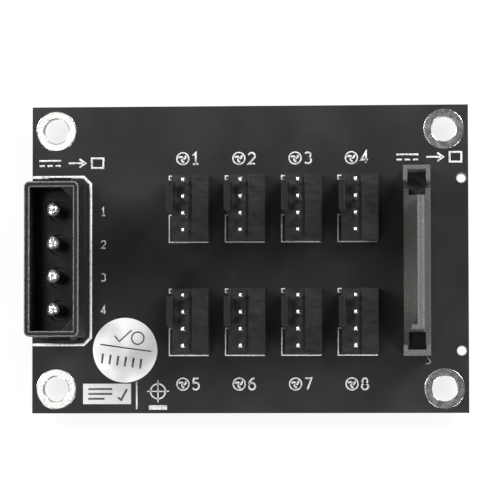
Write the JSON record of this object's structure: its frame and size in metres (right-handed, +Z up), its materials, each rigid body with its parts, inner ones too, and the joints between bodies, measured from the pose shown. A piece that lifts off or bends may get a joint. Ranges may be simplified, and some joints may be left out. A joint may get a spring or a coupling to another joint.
{
  "type": "pc fan controller hub",
  "caption": "Bare black circuit board that shares one drive power feed among rows of keyed 4-pin fan headers, with a shrouded power header and an upright blade power plug.",
  "frame": {"origin": "centre of the four screw holes, on the underside of the board", "axes": "+X along the board towards the blade plug, +Y across it, +Z up from the component side"},
  "size_m": [0.0676, 0.0474, 0.0157],
  "materials": {
    "solder_mask": "satin black solder mask on glass laminate",
    "levelled_tin": "uneven hot-air-levelled tin",
    "header_plastic": "moulded black nylon",
    "shroud_plastic": "moulded black nylon",
    "plug_plastic": "glass-filled black plastic",
    "pin_tin": "bright tin",
    "power_pin_tin": "rolled tinned brass",
    "solder": "bright solder",
    "contact_gold": "gold flash",
    "silver_film": "satin metallised film",
    "white_film": "satin paper label"
  },
  "bodies": {
    "root": {"circuit_board": "solder_mask", "mounting_pad_1": "levelled_tin", "mounting_pad_2": "levelled_tin", "mounting_pad_3": "levelled_tin", "mounting_pad_4": "levelled_tin", "fan_housing_1": "header_plastic", "fan_pins_1": "pin_tin", "fan_solder_1": "solder", "fan_housing_2": "header_plastic", "fan_pins_2": "pin_tin", "fan_solder_2": "solder", "fan_housing_3": "header_plastic", "fan_pins_3": "pin_tin", "fan_solder_3": "solder", "fan_housing_4": "header_plastic", "fan_pins_4": "pin_tin", "fan_solder_4": "solder", "fan_housing_5": "header_plastic", "fan_pins_5": "pin_tin", "fan_solder_5": "solder", "fan_housing_6": "header_plastic", "fan_pins_6": "pin_tin", "fan_solder_6": "solder", "fan_housing_7": "header_plastic", "fan_pins_7": "pin_tin", "fan_solder_7": "solder", "fan_housing_8": "header_plastic", "fan_pins_8": "pin_tin", "fan_solder_8": "solder", "power_housing": "shroud_plastic", "power_pin_1": "power_pin_tin", "power_pin_2": "power_pin_tin", "power_pin_3": "power_pin_tin", "power_pin_4": "power_pin_tin", "power_solder": "solder", "blade_housing": "plug_plastic", "blade_contacts": "contact_gold", "blade_solder": "solder", "round_sticker": "silver_film", "small_label": "white_film"}
  },
  "joints": []
}
